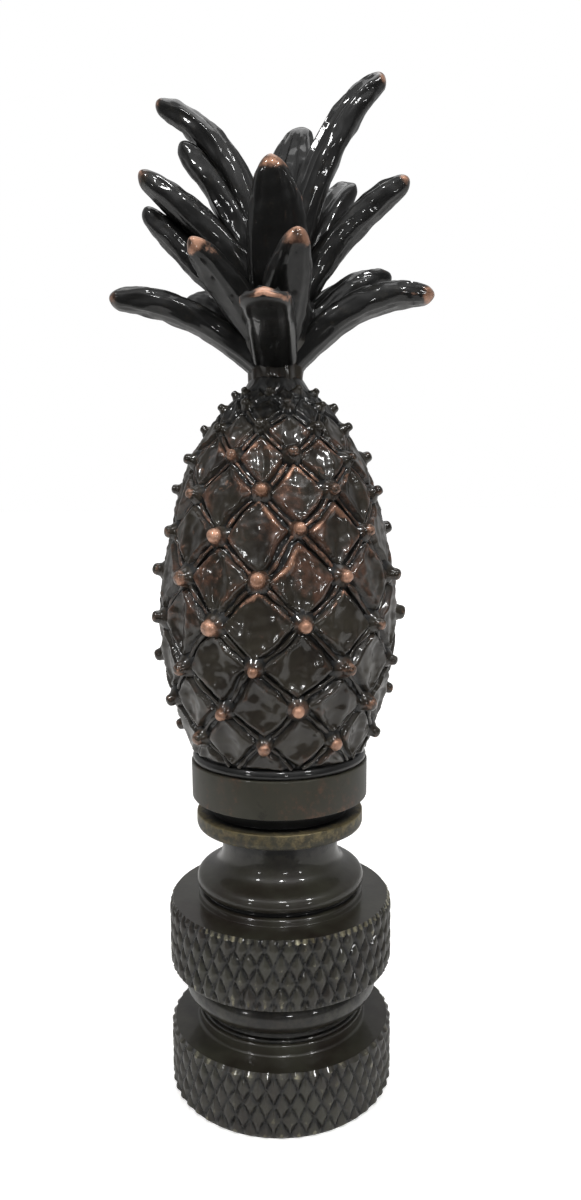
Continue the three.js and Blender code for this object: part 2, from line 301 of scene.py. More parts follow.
# A knurled disc from its lower rim to its upper rim: two crossing families of grooves leave diamonds.
# shift moves their crossings up, as a share of a diamond; worn is how bare the rims are.
def discRings(radius, bottom, height, seed, shift, worn):
    k = knurl
    rings, finish = [], []
    span = height - 2 * k["chamfer"]
    pitch = span / k["diamondsHigh"]
    turn = k["count"] * turnAngles / (2 * math.pi) + 0.5
    for level in np.linspace(0, span, k["rows"] + 1):
        place = polar(turnAngles, radius, bottom + level)
        uphill = turn + level / pitch - shift + k["drift"] * lumps(place, k["driftSize"], seed + 2)
        downhill = turn - level / pitch + shift + k["drift"] * lumps(place, k["driftSize"], seed + 3)
        gap = np.minimum(abs(uphill - np.round(uphill)), abs(downhill - np.round(downhill))) * 2
        raised = np.sin(np.clip(gap * k["crest"], 0, 1) * math.pi / 2)
        uneven = 1 + k["uneven"] * lumps(place, k["unevenSize"], seed)
        cut = k["depth"] * np.clip((1 - raised) * uneven, 0, 1)
        rings.append(polar(turnAngles, radius - cut, bottom + k["chamfer"] + level))
        # rubbed along the upper rim, on the corners of the diamonds at the lower rim and on their ridges
        atTop = smoothstep(k["topRubbed"], 0.0, (span - level) / pitch)
        atFoot = smoothstep(k["footRubbed"], 0.0, level / pitch)
        rims = ((0.3 + 0.9 * raised) * atTop + raised ** 3 * atFoot) * worn
        ridges = k["ridgeWear"] * smoothstep(0.8, 1.0, raised)
        patchy = 0.6 + 0.8 * lumps(place, k["wearSize"], seed + 1)
        soot = k["blackening"] * (1 - raised) ** 1.5
        finish.append(finishOf(turnColumns, wear=(rims + ridges) * patchy, soot=soot, satin=1.0))
    rim = radius - k["depth"]
    low, high = polar(turnAngles, rim, bottom), polar(turnAngles, rim, bottom + height)
    return [low] + rings + [high], [0.5 * finish[0]] + finish + [0.8 * finish[-1]]


# a run of the right-handed thread inside the socket
def threadRings(start, end, count):
    rings = []
    for level in np.linspace(start, end, count):
        turn = level / adapter["threadPitch"] - turnAngles / (2 * math.pi)
        tooth = abs(turn - np.round(turn)) * 2
        rings.append(polar(turnAngles, adapter["socketRadius"] + adapter["threadDepth"] * (tooth - 0.5), level))
    return rings


def buildAdapter():
    a = adapter
    disc, discFinish = discRings(a["radius"], 0, a["height"], a["knurlSeed"], a["knurlShift"], a["rimWear"])
    rim = a["radius"] - knurl["depth"]
    boss = plainRings(roundedOutline([
        (rim - 0.05, a["height"], 0),
        (a["bossRadius"] + a["bossFillet"], a["height"], 0.1),
        (a["bossRadius"], a["height"] + a["bossFillet"], 0.1),
        (a["bossRadius"], adapterTop, a["bossFillet"]),
        (a["socketRadius"] + 0.4, adapterTop, 0),
    ]))
    thread = threadRings(adapterTop - 0.15, 0.2, 44)
    under = plainRings([(a["socketRadius"] + 0.35, 0), (rim - 0.1, 0)])
    finish = plainFinish(boss, satin=0.3) + plainFinish(thread, wear=a["threadWear"])
    finish += plainFinish(under, wear=0.15) + discFinish
    skin = skinMesh(boss + thread + under + disc, finish, looped=True)
    return addObject("adapterNut", *skin, knurl["sharpAngle"])


# the turned shoulder and cove between the foot and the neck
def bellOutline():
    b = baseNut
    low = np.array([b["footRadius"], footTop + b["bellStep"]])
    bendLow = np.array([b["footRadius"] - 0.02, footTop + 0.6 * b["bellHeight"]])
    bendHigh = np.array([b["neckRadius"] + 0.08, footTop + 0.2 * b["bellHeight"]])
    high = np.array([b["neckRadius"], footTop + b["bellHeight"]])
    return [
        (1 - t) ** 3 * low + 3 * t * (1 - t) ** 2 * bendLow + 3 * t * t * (1 - t) * bendHigh + t ** 3 * high
        for t in np.linspace(0.03, 1, 30)
    ]


def buildBaseNut():
    b = baseNut
    socket, depth = adapter["socketRadius"], b["socketDepth"]
    wide, deep = b["grooveRadius"] + 0.12, b["grooveRadius"] - 0.1
    half = b["beadHeight"] / 2
    ceiling = plainRings([(0.05, depth + 0.9), (socket - 0.2, depth)])
    thread = threadRings(depth - 0.3, adapterTop + 0.1, 48)
    groove = plainRings(roundedOutline([
        (socket + 0.3, adapterTop, 0), (wide, adapterTop, 0.08), (wide, adapterTop + 0.22, 0.08),
        (deep, adapterTop + 0.3, 0.05), (deep, beadBottom - 0.1, 0.05), (b["grooveRadius"], beadBottom, 0),
    ]))
    bead = plainRings([
        (b["beadRadius"] - half + half * math.cos(t), beadBottom + half + half * math.sin(t))
        for t in np.radians(np.linspace(-88, 88, 25))
    ])
    disc, discFinish = discRings(b["radius"], nutBottom, b["height"], b["knurlSeed"], b["knurlShift"], b["rimWear"])
    inGroove = b["footRadius"] - b["footGroove"]
    foot = roundedOutline([
        (b["radius"] - knurl["depth"] - 0.06, nutTop, 0),
        (b["footRadius"] - 0.05, nutTop, 0.06),
        (b["footRadius"] - 0.12, nutTop + 0.45 * b["footHeight"], 0.14),
        (inGroove, nutTop + 0.55 * b["footHeight"], 0.06),
        (inGroove, nutTop + 0.88 * b["footHeight"], 0.06),
        (b["footRadius"] - 0.04, footTop - 0.02, 0.16),
        (b["footRadius"], footTop + b["bellStep"], 0.1),
    ])
    # the groove in the foot band is painted black as shade
    footFinish = [finishOf(turnColumns, soot=float(0.9 * (r < inGroove + 0.2))) for r, _ in foot]
    bell = plainRings(bellOutline())
    neck = plainRings([(b["neckRadius"], baseTop - 0.5), (b["neckRadius"], baseTop), (0.2, baseTop)])
    rings = ceiling + thread + groove + bead + disc + plainRings(foot) + bell + neck
    # painted shade: the groove over the adapter, the bead under the disc's overhang and the neck under the flange
    # are darkened
    finish = plainFinish(ceiling) + plainFinish(thread, wear=adapter["threadWear"]) + plainFinish(groove, soot=0.5)
    finish += plainFinish(bead, soot=0.42) + discFinish + footFinish
    finish += plainFinish(bell, satin=0.6) + plainFinish(neck, soot=0.9)
    return addObject("baseNut", *skinMesh(rings, finish), knurl["sharpAngle"])


def buildCollar():
    c = collar
    inBand = c["bandRadius"] - c["bandDepth"]
    outline = roundedOutline([
        (0.2, baseTop, 0), (c["flangeRadius"] - 0.1, baseTop, 0.1),
        (c["flangeRadius"], baseTop + 0.25, 0.2), (c["flangeRadius"] - 0.02, bandBottom, 0.12),
        (inBand, bandBottom + 0.02, 0.06), (inBand + 0.1, cupBottom - 0.02, 0.06),
        (c["cupRadius"] - 0.02, cupBottom, 0.1), (c["cupRadius"], collarTop, 0.1),
        (c["cupRadius"] - c["cupWall"], collarTop, 0.1), (0.2, collarTop - 0.02, 0),
    ], 5)
    strength, azimuth, spread, above, high = c["patch"]
    rings, finish = [], []
    for r, z in outline:
        outside = r > c["bandRadius"] - 0.1
        smooth = polar(turnAngles, r, z)
        rings.append(polar(turnAngles, r + c["dents"] * waveNoise(11, turnAngles, z, 6.0) * outside, z))
        # painted shade: the band's recess under the cup and the inside of the cup's top are painted black
        recessShade = float(bandBottom + 0.01 < z < cupBottom - 0.01 or r < c["cupRadius"] - 0.3 and z > cupBottom)
        wear = c["flangeWear"] * smoothstep(bandBottom + 0.15, bandBottom - 0.1, z)
        for share, rimHeight, reach in (
            (c["edgeWear"], bandBottom, 0.12), (c["lowRimWear"], cupBottom, 0.14),
            (c["topRimWear"], collarTop, 0.12),
        ):
            wear += share * math.exp(-((z - rimHeight) / reach) ** 2)
        patch = np.exp(-((turnAngles - azimuth) / spread) ** 2 - ((z - cupBottom - above) / high) ** 2)
        patch = strength * patch * outside
        stain = sum(share * lumps(smooth, size, seed) for share, size, seed in c["stains"]) * outside
        finish.append(finishOf(
            turnColumns, wear=wear * outside + 0.3 * patch, brown=c["brown"] + patch + stain,
            soot=np.maximum(recessShade, -stain), satin=1 - recessShade,
        ))
    return addObject("seatCollar", *skinMesh(rings, finish), c["sharpAngle"])


# the cast pineapple

pineapple = {
    "lipRadius": 6.35,
    "lipHeight": 0.7,
    "radius": 8.1,
    "height": 25.7,
    "stalkRadius": 1.8,
    "columns": 9,  # crossings round each row
    "turn": -9.5,  # azimuth of the first crossing, in degrees
    "slope": 1.01,  # of the grooves, as rise over run
    "firstRow": 1.95,  # mm from the body's foot
    "firstNubRow": 2,  # rows of crossings under the first one with nubs
    "shrink": 0.7,  # the relief shrinks with this power of the local radius
    "grooveHalf": 0.43,
    "panelHeight": 0.36,
    "rim": 0.06,
    "cordHalf": 0.17,  # the thin cord down the middle of each groove
    "cordRise": 0.07,  # its middle above the floor of the groove
    "cordStations": 170,
    "cordSides": 8,
    "hollow": 0.22,  # the almond-shaped pinch in a panel, at its deepest
    "flare": 0.34,  # how far the casting swells up under each nub
    "flareWidth": 0.6,
    "lumps": 0.13,
    "coarseSize": 2.4,
    "fineSize": 1.0,
    "grain": 0.07,
    "grainSize": 0.5,
    "wander": 0.14,  # of a half column and of a row
    "wanderReach": 9,
    "hemDepth": 0.36,
    "brownFrom": (30.5, 37.0),  # mm above the floor over which the brown comes in
    "brownTo": (47.4, 45.4),  # and over which it goes out again, read from the top down
    "lowTo": (30.5, 26.0),  # the brown patches low on the body go out upwards over these
    # the black under the stalk is painted shade from the crown of leaves
    "blackFrom": (45.8, 47.4),  # and it turns black under the stalk
    "sharpAngle": 60,
    "meshColumns": 360,
    "meshRows": 240,
    # half the body's profile: share of its height, share of its radius
    "profile": [
        (-0.12, 0.68), (0, 0.765), (0.13, 0.895), (0.265, 0.985), (0.42, 1.0), (0.57, 0.93),
        (0.73, 0.8), (0.84, 0.635), (0.92, 0.45), (0.965, 0.3), (1, 0.222),
    ],
}

# how the body's patina is rubbed or blackened, and how dark the painted shade under the stalk is, in shares of the
# whole
bodyWear = {
    "brown": 0.55,
    "brownRims": 0.45,
    "brownPatches": 0.7,
    "darkPinches": 0.3,
    "lowPatches": 0.35,
    "copperRims": 0.6,
    "copperLowRims": 0.2,
    "copperFlakes": 0.3,
    "rimPatchSize": 1.5,
    "grooves": 0.8,
    "shadeUnderStalk": 0.6,
    "sides": 0.35,  # what the sides have of the wear on the front and back
}

nub = {
    "sides": 16,
    "rise": 1.12,
    "radius": 0.47,
    # how far out from the groove, as a share of the rise, and how wide, as a share of the tip's radius
    "outline": [
        (-0.2, 2.3), (0.05, 2.0), (0.2, 1.65), (0.35, 1.4), (0.5, 1.22), (0.64, 1.12), (0.76, 1.07),
        (0.87, 0.94), (0.94, 0.74), (0.985, 0.42), (1.0, 0.15),
    ],
    # each nub's own size, width of tip, lean in degrees, twist in mm and wear lie between these
    "size": (0.86, 1.06),
    "tip": (0.72, 1.02),
    "lean": (-14, 8),
    "twist": (-0.14, 0.14),
    "rub": (0.6, 1.05),
    "bareRows": 1,  # rows left without nubs under the stalk
    "rubbedTo": 46.0,  # mm above the floor: higher up the tips stayed dark
}

bodyBottom = collarTop + pineapple["lipHeight"]
bodyTop = bodyBottom + pineapple["height"]


# smooth curve through points, the same kind as the solid's profile
def splinePoints(points, steps):
    points = np.array(points, float)
    last = len(points) - 1
    found = []
    for t in np.linspace(0, last, steps):
        k = min(int(t), last - 1)
        w = t - k
        p0, p1, p2, p3 = (points[min(max(k + d, 0), last)] for d in (-1, 0, 1, 2))
        v0, v1 = (p2 - p0) / 2, (p3 - p1) / 2
        found.append((2 * p1 - 2 * p2 + v0 + v1) * w ** 3 + (3 * p2 - 3 * p1 - 2 * v0 - v1) * w ** 2 + v0 * w + p1)
    return np.array(found)


def bodyProfile():
    raw = splinePoints(
        [(pineapple["radius"] * r, bodyBottom + pineapple["height"] * h) for h, r in pineapple["profile"]], 1200,
    )
    steps = np.linalg.norm(np.diff(raw, axis=0), axis=1)
    arc = np.concatenate([[0], np.cumsum(steps)])
    even = np.linspace(0, arc[-1], 1201)
    return even, np.stack([np.interp(even, arc, raw[:, 0]), np.interp(even, arc, raw[:, 1])], -1)


profileArc, profilePlace = bodyProfile()
profileTangent = np.gradient(profilePlace, profileArc, axis=0)
profileTangent /= np.linalg.norm(profileTangent, axis=1)[:, None]


# radius and height on the profile at an arc place, in mm along it, and its direction there
def profileAt(arc):
    return [np.interp(arc, profileArc, column) for column in (*profilePlace.T, *profileTangent.T)]


def arcAt(height):
    return float(np.interp(height, profilePlace[:, 1], profileArc))


# arc places of the rows of crossings; the step follows the local radius so the grooves keep one slope
def latticeRows():
    halfTurn = math.pi / pineapple["columns"]
    radiusAt = lambda s: float(profileAt(s)[0])
    first = arcAt(bodyBottom + pineapple["firstRow"])
    below, s = [], first
    for _ in range(pineapple["firstNubRow"]):
        s -= pineapple["slope"] * halfTurn * radiusAt(s)
        below.insert(0, s)
    rows, s = [first], first
    while radiusAt(s) > 1.4 * pineapple["stalkRadius"] and s < profileArc[-1]:
        s += pineapple["slope"] * halfTurn * radiusAt(s)
        rows.append(s)
    return np.array(below + rows)


rowArc = latticeRows()


# the wax model's hand-made wander, in half columns and rows
def latticeWander(azimuth, height):
    sideways = pineapple["wander"] * waveNoise(21, azimuth, height, pineapple["wanderReach"])
    return sideways, pineapple["wander"] * waveNoise(22, azimuth, height, pineapple["wanderReach"])


# number of the row of crossings at an arc place, 0 at the first one with nubs
def rowAt(arc):
    return np.interp(arc, rowArc, np.arange(len(rowArc)) - pineapple["firstNubRow"])


# the casting's own unevenness, coarse and fine, from -1 to 1
def castLumps(points):
    return lumps(points, pineapple["coarseSize"], 31), lumps(points, pineapple["fineSize"], 32)


# how much the front and back were rubbed, against the sides
def facing(azimuth):
    return bodyWear["sides"] + (1 - bodyWear["sides"]) * np.cos(azimuth) ** 2


# the brown upper half of the body, 0 to 1; ragged shifts its ends
def brownZone(height, ragged):
    comesIn = smoothstep(*pineapple["brownFrom"], height + 2.5 * ragged)
    return comesIn * smoothstep(*pineapple["brownTo"], height + 1.2 * ragged)


# Where points of the body lie in the lattice: mm to the nearest groove of either family, the place up
# and across the panel, from -1 to 1, and two numbers from 0 to 1 that each panel has by chance.
def latticeCells(azimuth, arc, radius, height):
    columns = pineapple["columns"]
    halfColumn = math.pi / columns
    sideways, upward = latticeWander(azimuth, height)
    column = (azimuth - math.radians(pineapple["turn"])) / halfColumn + sideways
    row = rowAt(arc) + upward
    uphill, downhill = (column + row) / 2, (column - row) / 2
    halfWide, rowStep = halfColumn * radius, np.interp(arc, rowArc, np.gradient(rowArc))
    apart = 2 * halfWide * rowStep / np.hypot(halfWide, rowStep)
    distUp, distDown = abs(uphill - np.round(uphill)) * apart, abs(downhill - np.round(downhill)) * apart
    cellUp, cellDown = np.floor(uphill), np.floor(downhill)
    upright = (uphill - cellUp) - (downhill - cellDown)
    across = (uphill - cellUp) + (downhill - cellDown) - 1
    # the usual way to get a fraction by chance from two whole numbers
    chance = np.sin((cellUp % columns) * 12.9898 + (cellDown % columns) * 78.233) * 43758.5453
    chance = chance - np.floor(chance)
    return distUp, distDown, upright, across, chance, (chance * 57.31) % 1


# One field of heights over the body: grooves where either family of lines passes,
# panels between them, and a swelling where two grooves cross.
def buildBody():
    p, w = pineapple, bodyWear
    startArc = arcAt(collarTop + 0.12)
    arcs = np.linspace(startArc, profileArc[-1] - 0.2, p["meshRows"])
    azimuths = circleOf(p["meshColumns"])
    r, z, tr, tz = (found[:, None] for found in profileAt(arcs))
    around, arc = np.meshgrid(azimuths, arcs)
    radius, height = r + 0 * around, z + 0 * around
    smooth = polar(around, radius, height)
    coarse, fine = castLumps(smooth)
    distUp, distDown, upright, across, chance, otherChance = latticeCells(around, arc, radius, height)
    scale = (radius / p["radius"]) ** p["shrink"]
    width = p["grooveHalf"] * scale * (1 + 0.45 * coarse + 0.3 * fine)
    near = np.minimum(distUp, distDown) / width  # 1 at the groove's edge
    # each panel has raised rims, leans its own way and has an upright almond-shaped pinch
    inside = smoothstep(1.0, 2.2, near)
    panel = p["panelHeight"] * smoothstep(0.72, 1.12, near)
    rim = p["rim"] * np.exp(-((near - 1.4) / 0.35) ** 2)
    slant = inside * (0.16 * (otherChance - 0.5) * upright + 0.2 * (chance - 0.4) * across)
    almond = abs(across + 0.2 * (chance - 0.5)) / (0.14 + 0.2 * (1 - np.clip(abs(upright), 0, 1)) ** 0.8)
    pinch = inside * (0.3 + chance) * (0.3 * np.exp(-((almond - 1.15) / 0.3) ** 2) - smoothstep(1.2, 0.2, almond))
    flare = p["flare"] * scale * np.exp(-(distUp ** 2 + distDown ** 2) / (p["flareWidth"] * scale) ** 2)
    bumps = p["lumps"] * (coarse + 0.8 * fine) + p["grain"] * lumps(smooth, p["grainSize"], 33)
    relief = (panel + rim + p["hollow"] * pinch + slant) * scale + bumps
    relief = np.maximum(relief, flare) - p["panelHeight"]
    # the grooves run out under the stalk and at the hem over the collar
    fade = smoothstep(profileArc[-1] - 0.3, profileArc[-1] - 2.2, arc)
    hem = smoothstep(0.95, 0.6, height - collarTop - 0.4 * coarse)
    relief = relief * fade + (0.1 * coarse - 0.1) * (1 - fade)
    relief = relief * (1 - hem) + (0.12 * coarse - p["hemDepth"]) * hem
    outer, level = radius + relief * tz, height - relief * tr
    rings = [polar(azimuths, outer[k], level[k]) for k in range(len(arcs))]
    # brown shows through above the middle, bare copper along the panels' upper rims there
    zone, rubbed = brownZone(height, coarse), facing(around)
    edge = np.exp(-((near - 1.35) / 0.4) ** 2) * fade * (0.4 + 0.6 * smoothstep(-0.3, 0.4, upright))
    edge = edge * np.clip(0.6 + 1.4 * lumps(smooth, w["rimPatchSize"], 34), 0, 1)
    brown = w["brown"] + w["brownRims"] * edge + w["brownPatches"] * coarse
    brown = rubbed * zone * (brown - w["darkPinches"] * smoothstep(1.3, 0.7, almond)) + 0.3 * edge + 0.25 * fine
    brown = brown + w["lowPatches"] * smoothstep(*p["lowTo"], height) * smoothstep(0.05, 0.5, coarse)
    wear = rubbed * edge * (w["copperRims"] * zone + w["copperLowRims"])
    wear = wear + w["copperFlakes"] * zone * smoothstep(0.15, 0.5, fine) * inside
    # the grooves are blackened patina; under the stalk and at the hem over the collar the black is painted shade
    soot = w["grooves"] * smoothstep(1.05, 0.6, near) + w["shadeUnderStalk"] * smoothstep(*p["blackFrom"], height) + hem
    brown = brown * (1 - hem)
    return skinMesh(rings, [finishOf(len(azimuths), wear[k], brown[k], soot[k]) for k in range(len(arcs))])


# the cord down the middle of every groove, from the hem up to the stalk
def buildCords():
    p = pineapple
    halfColumn, turn = math.pi / p["columns"], math.radians(p["turn"])
    arcs = np.linspace(arcAt(bodyBottom), profileArc[-1] - 3.0, p["cordStations"])
    r, z, tr, tz = profileAt(arcs)
    scale = (r / p["radius"]) ** p["shrink"]
    angles = circleOf(p["cordSides"])
    cosine, sine = np.cos(angles)[:, None], np.sin(angles)[:, None]
    onTop = np.clip(sine[:, 0], 0, 1)
    skins = []
    for slope in (-1, 1):
        for line in range(p["columns"]):
            straight = 2 * line + slope * rowAt(arcs)
            azimuths = turn + straight * halfColumn
            for _ in range(2):  # the wander depends on the place that it moves
                sideways, upward = latticeWander(azimuths, z)
                azimuths = turn + (straight + slope * upward - sideways) * halfColumn
            coarse, fine = castLumps(polar(azimuths, r, z))
            level = p["lumps"] * (coarse + 0.8 * fine) - p["panelHeight"] + p["cordRise"] * scale
            centre = polar(azimuths, r + level * tz, z - level * tr)
            outward = polar(azimuths, tz, -tr)
            forward = np.gradient(centre, axis=0)
            forward /= np.linalg.norm(forward, axis=1)[:, None]
            aside = np.cross(outward, forward)
            half = p["cordHalf"] * scale * (1 + 0.8 * lumps(centre, 0.7, 35))
            zone = brownZone(z, coarse) * facing(azimuths)
            rings = [centre[k] + half[k] * (cosine * aside[k] + sine * outward[k]) for k in range(len(arcs))]
            soot = 0.7 - 0.6 * onTop
            skins.append(skinMesh(rings, [
                finishOf(len(angles), wear=0.45 * share * onTop, brown=(0.2 + 0.6 * share) * onTop, soot=soot)
                for share in zone
            ]))
    return skins


def buildNubs():
    skins = []
    chance = random.Random(8)
    halfColumn = math.pi / pineapple["columns"]
    steps = np.gradient(rowArc)
    angles = circleOf(nub["sides"])
    for row in range(pineapple["firstNubRow"], len(rowArc) - nub["bareRows"]):
        for column in range(row % 2, 2 * pineapple["columns"], 2):
            azimuth = math.radians(pineapple["turn"]) + column * halfColumn
            r, z, tr, tz = (float(found) for found in profileAt(rowArc[row]))
            sideways, upward = (float(w) for w in latticeWander(np.array(azimuth), np.array(z)))
            azimuth -= sideways * halfColumn
            r -= upward * float(steps[row]) * tr
            z -= upward * float(steps[row]) * tz
            scale = (r / pineapple["radius"]) ** pineapple["shrink"] * chance.uniform(*nub["size"])
            tipWidth = chance.uniform(*nub["tip"])
            lean, twist = math.radians(chance.uniform(*nub["lean"])), chance.uniform(*nub["twist"])
            out = np.array([tz * math.cos(lean) + tr * math.sin(lean), -tr * math.cos(lean) + tz * math.sin(lean)])
            up = np.array([-out[1], out[0]])
            across = np.array([math.cos(azimuth), math.sin(azimuth), 0])
            rubbed = float(facing(azimuth)) * chance.uniform(*nub["rub"])
            rubbed *= float(smoothstep(nub["rubbedTo"], nub["rubbedTo"] - 2.5, z)) * 0.9 + 0.1
            rings, finish = [], []
            for share, wide in nub["outline"]:
                reach = share * nub["rise"] * scale
                half = wide * nub["radius"] * scale * (tipWidth if share > 0.4 else 1)
                ringRadius = r - pineapple["panelHeight"] + reach * out[0] + half * np.sin(angles) * up[0]
                ringHeight = z + reach * out[1] + half * np.sin(angles) * up[1]
                ring = polar(np.full(nub["sides"], azimuth), ringRadius, ringHeight)
                ring += (half * np.cos(angles) + twist * max(share, 0))[:, None] * across
                ring += 0.05 * lumps(ring, 0.8, 71)[:, None] * polar(np.array([azimuth]), 1, 0)
                rings.append(ring)
                wear, brown = rubbed * smoothstep(0.35, 0.8, share), 0.8 * rubbed * smoothstep(0.1, 0.5, share)
                finish.append(finishOf(nub["sides"], wear, brown, soot=smoothstep(0.35, 0.1, share)))
            skins.append(skinMesh(rings, finish))
    return skins


# wax-smooth ring between the collar and the casting's hem, painted black all over as shade under the hem
def buildLip():
    p = pineapple
    angles = circleOf(p["meshColumns"])
    outline = roundedOutline([
        (p["lipRadius"] - 1.2, collarTop + 0.01, 0), (p["lipRadius"] - 0.35, collarTop + 0.01, 0.1),
        (p["lipRadius"] - 0.2, collarTop + 0.3, 0.25), (p["lipRadius"] - 0.35, bodyBottom - 0.05, 0.3),
        (p["lipRadius"] - 1.3, bodyBottom + 0.15, 0),
    ], 5)
    rings = [polar(angles, r + 0.05 * waveNoise(41, angles, z, 3.0), z) for r, z in outline]
    return skinMesh(rings, [finishOf(len(angles), soot=1.0)] * len(rings))


# The leaves, lowest first: azimuth from the front in degrees and width in mm; then where each springs, the
# control point it bends towards and its tip, as radius and height above the stalk; then how wide it still is
# near its tip, how much copper shows there, and how far it turns about its own length, in degrees.
leafColumns = ("azimuth", "width", "spring", "bend", "tip", "end", "rub", "roll")
leaves = [dict(zip(leafColumns, row)) for row in [
    (-88, 3.0, (1.0, 1.0), (6.6, 5.8), (11.1, 5.0), 0.72, 0.45, 0),
    (-4, 2.98, (1.2, 1.3), (5.2, 4.0), (10.3, 3.1), 0.98, 1.35, 0),
    (86, 3.1, (1.0, 1.0), (5.8, 6.4), (10.6, 5.1), 0.66, 0.95, 0),
    (115, 2.8, (1.0, 1.8), (5.4, 7.6), (9.0, 7.2), 0.6, 0.2, 0),
    (150, 3.0, (1.0, 1.2), (5.4, 6.6), (9.4, 4.9), 0.6, 0.5, 0),
    (182, 3.2, (1.0, 1.0), (5.6, 6.8), (10.4, 4.6), 0.8, 0.7, 0),
    (-136, 3.0, (1.0, 1.4), (5.4, 7.2), (9.5, 5.6), 0.6, 0.5, 0),
    (-95, 2.7, (1.0, 3.6), (5.4, 8.0), (8.8, 11.2), 0.62, 0.15, 0),
    (-41, 2.6, (1.0, 2.2), (4.8, 6.2), (7.9, 7.4), 0.38, 1.0, 0),
    (11.5, 3.2, (1.0, 2.2), (4.2, 5.4), (7.0, 7.8), 0.42, 1.0, 0),
    (88, 2.5, (0.8, 4.2), (4.4, 10.7), (8.9, 12.7), 0.66, 0.4, 0),
    (133, 3.5, (0.8, 4.4), (3.4, 11.0), (6.8, 13.9), 0.95, 0, 0),
    (180, 3.0, (0.8, 3.4), (4.8, 8.6), (8.3, 10.0), 0.6, 0.7, 0),
    (-142, 2.8, (0.8, 4.4), (2.8, 10.0), (5.2, 12.9), 0.6, 0.5, 0),
    (-85, 2.8, (0.6, 5.4), (4.1, 10.0), (8.9, 13.0), 0.66, 0.5, 0),
    (-100, 2.6, (0.6, 6.2), (3.0, 12.5), (6.4, 15.5), 0.62, 0, 0),
    (-108, 2.9, (0.6, 6.2), (1.4, 15.6), (8.4, 18.6), 0.66, 0.55, 0),
    (85, 3.6, (0.6, 6.2), (2.9, 16.8), (7.2, 19.0), 0.66, 0.7, 24),
    (158, 4.5, (0.6, 6.2), (1.8, 13.0), (5.0, 17.8), 0.42, 0, 0),
    (-3, 3.9, (0.8, 5.0), (3.2, 9.6), (4.8, 12.7), 0.34, 0.8, 0),
]]

crown = {
    "thickness": 1.8,
    "back": 0.9,  # power of the section's curve on its upper side: 1 is round, less is squarer
    "middleWidth": 1.05,
    "pointed": 0.5,  # leaves whose "end" is narrower than this taper sooner
    "pointedTaper": 3.2,
    "taper": 5,
    "sway": 0.3,
    "ribs": 2.5,  # lengthwise ribs across half a leaf
    "ribDepth": 0.13,
    "wrinkles": 0.14,
    "wrinkleSize": (0.7, 2.2),  # mm across and along
    "stations": 60,
    "sides": 44,
    "tipLength": 0.8,  # mm that round off into the tip
    "roundedLength": 1.3,  # mm over which the section turns round
    "rubbedLength": 1.2,
    "bluntFrom": 0.9,  # leaves whose "end" is wider than this are cut off square, with a flat smooth belly
    # "belly" is as "back", "base" the width at the root, "thinned" how much thinner the tip is,
    # "calm" the share of the wrinkles, "bead" the half width and rise of a bead on top of the tip
    "slender": {"belly": 0.72, "base": 0.8, "capLength": 0.8, "thinned": 0, "calm": 1.0, "bead": None},
    "blunt": {"belly": 0.5, "base": 1.0, "capLength": 1.3, "thinned": 0.4, "calm": 0.35, "bead": (0.55, 0.2)},
    "coreRadius": 2.5,
    "coreHeight": 8.2,
    "coreSides": 120,
}


# share of the full width or thickness that is left near a rounded tip
def capShare(fromTip, length):
    return math.sqrt(max(0.02, 1 - max(0.0, 1 - fromTip / length) ** 2))


